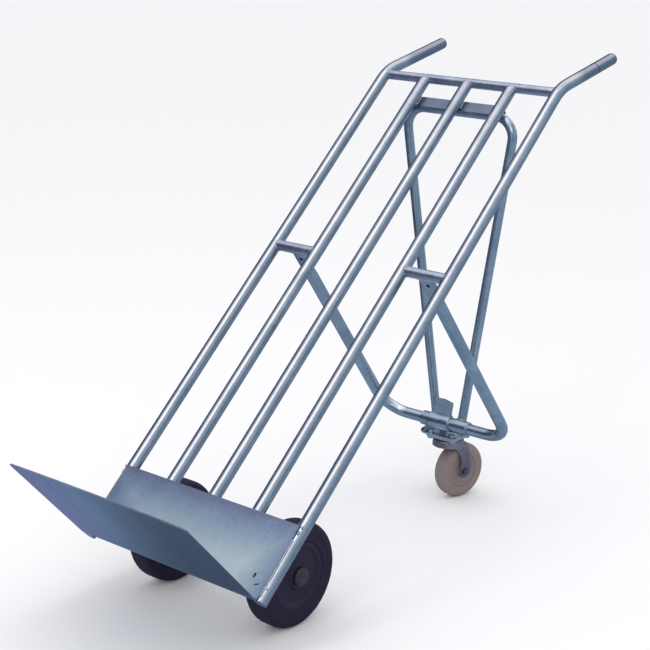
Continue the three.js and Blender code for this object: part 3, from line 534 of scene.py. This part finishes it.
# cradle webs to the caster's base plate
for tag, xs in (("left", (-43.8, -36.9)), ("right", (15.1, 20.5))):
    for k, x in enumerate(xs):
        seed += 1
        bead(f"weld_cradle_{tag}_{k + 1}", [Vector((x / 1000, KNUCKLE.y - 0.018, 0.158)), Vector((x / 1000, KNUCKLE.y + 0.030, 0.158))], 1.0, "support_strut", seed, mat=SADDLE)

# ------------------------------------------------------------------ main wheels, as moulded
for tag, sx in (("left", -1), ("right", 1)):
    place = Matrix.Translation(AXLE) @ Matrix.Scale(sx, 4, Vector((1, 0, 0)))
    w0, w1 = 125.4, 177.4
    prof = outline([
        (64.3, w0 + 3, 0.5), (68.3, w0 + 0.2, 1.2), (76, w0 + 0.9, 1.5), (78, w0 + 2.0, 0.8), (80, w0 + 0.9, 0.8), (88, w0, 2.5), (96.5, w0 + 2.6, 4), (101, w0 + 11, 5),
        (100.95, w0 + 25.2, 0.3), (101, w0 + 25.6, 0.2), (101, w0 + 26.4, 0.2), (100.95, w0 + 26.8, 0.3),
        (101, w1 - 11, 5), (96.5, w1 - 2.6, 4), (88, w1, 2.5), (80, w1 - 0.9, 0.8), (78, w1 - 2.0, 0.8), (76, w1 - 0.9, 1.5), (68.3, w1 - 0.2, 1.2), (64.3, w1 - 3, 0.5)])
    v, f = lathe(prof, place, 144)
    tyre = make(f"moulded_tyre_{tag}", v, f, TYRE, f"wheel_{tag}")
    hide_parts(f"tyre_{tag}")
    # wheel centre: rim, dished web, hub boss
    h0, h1 = w0 + 1.5, w1 - 2
    prof = outline([(10.3, h0, 0.4), (23, h0, 1.2), (26, h0 + 6.5, 2), (30, h0 + 8, 3), (50, h0 + 8.5, 3), (56, h0 + 2.2, 2), (58.5, h0 + 0.8, 1), (64, h0 + 0.8, 0.6),
                    (64, h1 - 1.0, 0.6), (58.5, h1 - 1.0, 1), (56, h1 - 2.0, 1.5), (51.5, h1 - 6.4, 3), (30, h1 - 5.6, 3), (26.5, h1 - 4.6, 2), (23.4, h1, 1.2), (10.3, h1, 0.4)])
    v, f = lathe(prof, place, 112)
    centre = make(f"moulded_wheel_centre_{tag}", v, f, HUBP, f"wheel_{tag}")
    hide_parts(f"wheel_centre_{tag}")
    # hub cap with a shallow dished face
    prof = outline([(0.0, w1 + 8.4, 0), (5.5, w1 + 8.5, 1), (8.5, w1 + 9.6, 1), (11, w1 + 9.2, 1.2), (16.4, w1 + 6.6, 1.5), (18.6, w1 + 3.6, 1.5), (18.6, w1 - 1.2, 0.5), (13.4, w1 - 1.2, 0.3), (10.4, w1 + 1, 0.3), (10.4, w1 + 6.8, 0.3), (0.0, w1 + 6.8, 0)])
    v, f = lathe(prof, place, 64)
    cap = make(f"moulded_hub_cap_{tag}", v, f, HUBCAP, "frame")
    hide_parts(f"hub_cap_{tag}")

# ------------------------------------------------------------------ caster wheel, as moulded
place = Matrix.Translation(CASTER_HUB) @ Matrix.Rotation(CASTER_TURN, 4, "Z")
w = 17
prof = outline([(38.3, -w + 2, 0.5), (41, -w + 0.2, 1), (46, -w + 0.3, 1), (47.2, -w + 1.2, 0.5), (48.4, -w + 0.3, 0.5), (52, -w, 2), (59.4, -w + 2.6, 3), (62.5, -w + 8.5, 4),
                (62.5, w - 8.5, 4), (59.4, w - 2.6, 3), (52, w, 2), (48.4, w - 0.3, 0.5), (47.2, w - 1.2, 0.5), (46, w - 0.3, 1), (41, w - 0.2, 1), (38.3, w - 2, 0.5)])
v, f = lathe(prof, place, 112)
tyre = make("moulded_caster_tyre", v, f, CTYRE, "caster_wheel")
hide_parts("caster_tyre")
h = 17 + 2.6 - 0.8
prof = outline([(5.3, -h, 0.4), (12, -h, 1), (13.5, -w + 5.4, 1.5), (17, -w + 4.6, 2), (30, -w + 4.8, 2), (33.6, -w + 2.8, 1), (38, -w + 2.3, 0.6),
                (38, w - 2.3, 0.6), (33.6, w - 2.8, 1), (30, w - 4.8, 2), (17, w - 4.6, 2), (13.5, w - 5.4, 1.5), (12, h, 1), (5.3, h, 0.4)])
v, f = lathe(prof, place, 96)
hub = make("moulded_caster_hub", v, f, CHUB, "caster_wheel")
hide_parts("caster_hub")

# ------------------------------------------------------------------ dark ring near the right handle's end
hd = math.radians(29.5)
hdir = Vector((0, math.cos(hd), -math.sin(hd)))
HANDLE = TRUCK @ Matrix.Translation((0.220, 1.2124, 0)) @ Matrix.Rotation(-hd, 4, "X")
ring_at = HANDLE @ Matrix.Translation((0, 0.204 + 0.0085 - 0.078, 0)) @ Matrix.Rotation(math.pi / 2, 4, "Z")
v, f = lathe(outline([(12.3, -1.0, 0.1), (12.72, -0.8, 0.2), (12.72, 0.8, 0.2), (12.3, 1.0, 0.1)], 2), ring_at, 48)
make("handle_dark_ring_right", v, f, DARK_RING, "frame")

# ------------------------------------------------------------------ stage, light and camera
fm = Nodes("floor_pale")
fn = fm.noise(0.35, 2, 0.5)
pale = fm.ramp(fn, [(0.3, (0.935, 0.935, 0.94)), (0.7, (0.94, 0.94, 0.94))])
lp = fm.t.nodes.new("ShaderNodeLightPath")
fgeo = fm.t.nodes.new("ShaderNodeNewGeometry")
fx, fy, fz = fm.split(fgeo.outputs["Position"])
# painted reflection: glossy rays see the floor as a bluish grey that darkens to navy behind on the left, while camera
# and diffuse rays see it pale
floor_painted_reflection = fm.mix(fm.range(fx, -0.35, -1.1), (0.26, 0.36, 0.47), (0.07, 0.09, 0.15))
floor_mat = fm.done(fm.mix(lp.outputs["Is Glossy Ray"], pale, floor_painted_reflection), 0.8, 0.0, Specular_IOR_Level=0.1)
me = bpy.data.meshes.new("floor")
ring = [(0, 0, 0)] + [(60 * math.cos(2 * math.pi * i / 64), 60 * math.sin(2 * math.pi * i / 64), 0) for i in range(64)]
me.from_pydata(ring, [], [(0, i + 1, (i + 1) % 64 + 1) for i in range(64)])
me.materials.append(floor_mat)
floor = bpy.data.objects.new("floor", me)
bpy.context.scene.collection.objects.link(floor)

world = bpy.data.worlds.new("studio")
bpy.context.scene.world = world
world.use_nodes = True
wt = world.node_tree
bg = wt.nodes["Background"]


def wn(kind, **values):
    n = wt.nodes.new(kind)
    for k, v in values.items():
        n.inputs[k].default_value = v
    return n


# even white light for the camera and for diffuse light; painted reflection: only glossy rays see a bluish studio with
# a dark wall on the left, so the plated tubes mirror it though it lights nothing
tc = wn("ShaderNodeTexCoord")
sep = wn("ShaderNodeSeparateXYZ")
wt.links.new(tc.outputs["Generated"], sep.inputs[0])
side = wt.nodes.new("ShaderNodeMapRange")
wt.links.new(sep.outputs[0], side.inputs["Value"])
for k, v in (("From Min", -0.25), ("From Max", -0.5), ("To Min", 0.0), ("To Max", 1.0)):
    side.inputs[k].default_value = v
up = wt.nodes.new("ShaderNodeMapRange")
wt.links.new(sep.outputs[2], up.inputs["Value"])
for k, v in (("From Min", 0.52), ("From Max", 0.72), ("To Min", 1.0), ("To Max", 0.0)):
    up.inputs[k].default_value = v
painted_reflection_wall = wt.nodes.new("ShaderNodeMath")
painted_reflection_wall.operation = "MULTIPLY"
wt.links.new(side.outputs[0], painted_reflection_wall.inputs[0])
wt.links.new(up.outputs[0], painted_reflection_wall.inputs[1])
painted_reflection_sky = wt.nodes.new("ShaderNodeValToRGB")
painted_reflection_sky.color_ramp.elements[0].position, painted_reflection_sky.color_ramp.elements[0].color = 0.0, (0.27, 0.40, 0.52, 1)
painted_reflection_sky.color_ramp.elements[1].position, painted_reflection_sky.color_ramp.elements[1].color = 0.8, (0.58, 0.71, 0.84, 1)
wt.links.new(sep.outputs[2], painted_reflection_sky.inputs[0])
# painted highlight: a broad soft panel overhead, a little to the left, seen only by glossy rays
painted_highlight_panel = None
for socket, a, b in ((0, -0.52, -0.42), (0, 0.58, 0.32), (2, 0.52, 0.62)):
    g = wt.nodes.new("ShaderNodeMapRange")
    wt.links.new(sep.outputs[socket], g.inputs["Value"])
    g.inputs["From Min"].default_value, g.inputs["From Max"].default_value = a, b
    if painted_highlight_panel is None:
        painted_highlight_panel = g.outputs[0]
    else:
        k = wt.nodes.new("ShaderNodeMath")
        k.operation = "MULTIPLY"
        wt.links.new(painted_highlight_panel, k.inputs[0])
        wt.links.new(g.outputs[0], k.inputs[1])
        painted_highlight_panel = k.outputs[0]
painted_highlight_mix = wt.nodes.new("ShaderNodeMix")
painted_highlight_mix.data_type = "RGBA"
wt.links.new(painted_highlight_panel, painted_highlight_mix.inputs["Factor"])
wt.links.new(painted_reflection_sky.outputs[0], painted_highlight_mix.inputs[6])
painted_highlight_mix.inputs[7].default_value = (1.42, 1.40, 1.46, 1)
painted_reflection_room = wt.nodes.new("ShaderNodeMix")
painted_reflection_room.data_type = "RGBA"
wt.links.new(painted_reflection_wall.outputs[0], painted_reflection_room.inputs["Factor"])
wt.links.new(painted_highlight_mix.outputs[2], painted_reflection_room.inputs[6])
painted_reflection_room.inputs[7].default_value = (0.05, 0.065, 0.13, 1)
path = wt.nodes.new("ShaderNodeLightPath")
pick = wt.nodes.new("ShaderNodeMix")
pick.data_type = "RGBA"
wt.links.new(path.outputs["Is Glossy Ray"], pick.inputs["Factor"])
pick.inputs[6].default_value = (0.98, 0.98, 1.0, 1)
wt.links.new(painted_reflection_room.outputs[2], pick.inputs[7])
wt.links.new(pick.outputs[2], bg.inputs[0])
bg.inputs[1].default_value = 1.0


def area(name, at, target, size, power, color=(1, 1, 1), long_axis=None):
    d = bpy.data.lights.new(name, "AREA")
    d.shape = "RECTANGLE"
    d.size, d.size_y = size
    d.energy = power
    d.color = color
    o = bpy.data.objects.new(name, d)
    bpy.context.scene.collection.objects.link(o)
    z = (Vector(at) - Vector(target)).normalized()
    y = Vector(long_axis or (0, 1, 0))
    y = (y - z * y.dot(z)).normalized()
    x = y.cross(z)
    m = Matrix((x, y, z)).transposed().to_4x4()
    m.translation = Vector(at)
    o.matrix_world = m
    return o


D = Vector((0, SIN, COS))
area("key_strip", (-0.1, -1.35, 3.3), (0, 0, 0.5), (0.7, 4.4), 19, (1.0, 0.985, 0.985), D)
area("front_soft", (2.6, -2.6, 2.4), (0, 0, 0.4), (1.2, 1.2), 10, (0.95, 0.97, 1.0))

cam = bpy.data.cameras.new("camera")
cam.lens = 1545.42 / 650 * 36
cam.sensor_width = 36
cam.sensor_fit = "HORIZONTAL"
cam.clip_end = 200
co = bpy.data.objects.new("camera", cam)
bpy.context.scene.collection.objects.link(co)
right, upv, back = Vector((0.76636, 0.64206, 0.02135)), Vector((-0.18650, 0.19057, 0.96379)), Vector((0.61474, -0.74260, 0.26579))
cm = Matrix((right, upv, back)).transposed().to_4x4()
cm.translation = Vector((1.8645, -2.2799, 1.2976))
co.matrix_world = cm
bpy.context.scene.camera = co
bpy.context.scene.view_settings.view_transform = "Standard"

bpy.context.view_layer.update()


def plain(b):
    return [[float(c) for c in v] for v in b]
